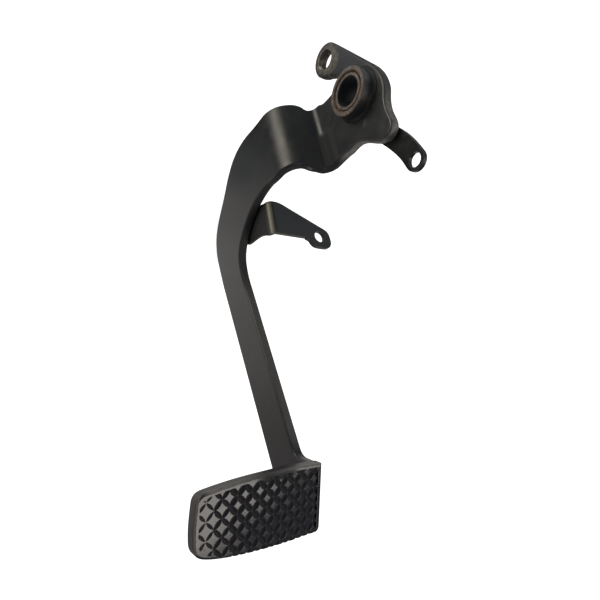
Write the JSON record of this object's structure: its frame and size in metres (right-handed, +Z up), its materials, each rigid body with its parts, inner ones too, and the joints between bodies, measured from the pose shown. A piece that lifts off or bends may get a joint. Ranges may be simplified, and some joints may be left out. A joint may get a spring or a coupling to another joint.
{
  "type": "motorcycle rear brake pedal",
  "caption": "Bent steel foot pedal arm with a grooved tread pad, a bushed pivot tube, a rod hole in an ear, and thin tabs with holes for a return spring and a stop.",
  "frame": {"origin": "middle of the pivot bore, on its axis", "axes": "+X along the pivot axis, inboard; -Y forwards to the pad; +Z up, the way the tread faces, on the right-hand side of the vehicle"},
  "size_m": [0.0986, 0.2359, 0.1383],
  "materials": {
    "arm_paint": "satin black paint, rubbed on the tread and round the rod hole",
    "boss_paint": "satin black paint, end faces worn to brown-grey steel",
    "bush_steel": "worn dull steel, greasy in the bore",
    "tab_paint": "satin black paint",
    "bracket_paint": "satin black paint, polished on the bend"
  },
  "bodies": {
    "root": {"pedal_arm": "arm_paint", "pivot_boss": "boss_paint", "pivot_bush": "bush_steel", "spring_tab": "tab_paint", "side_bracket": "bracket_paint"}
  },
  "joints": []
}
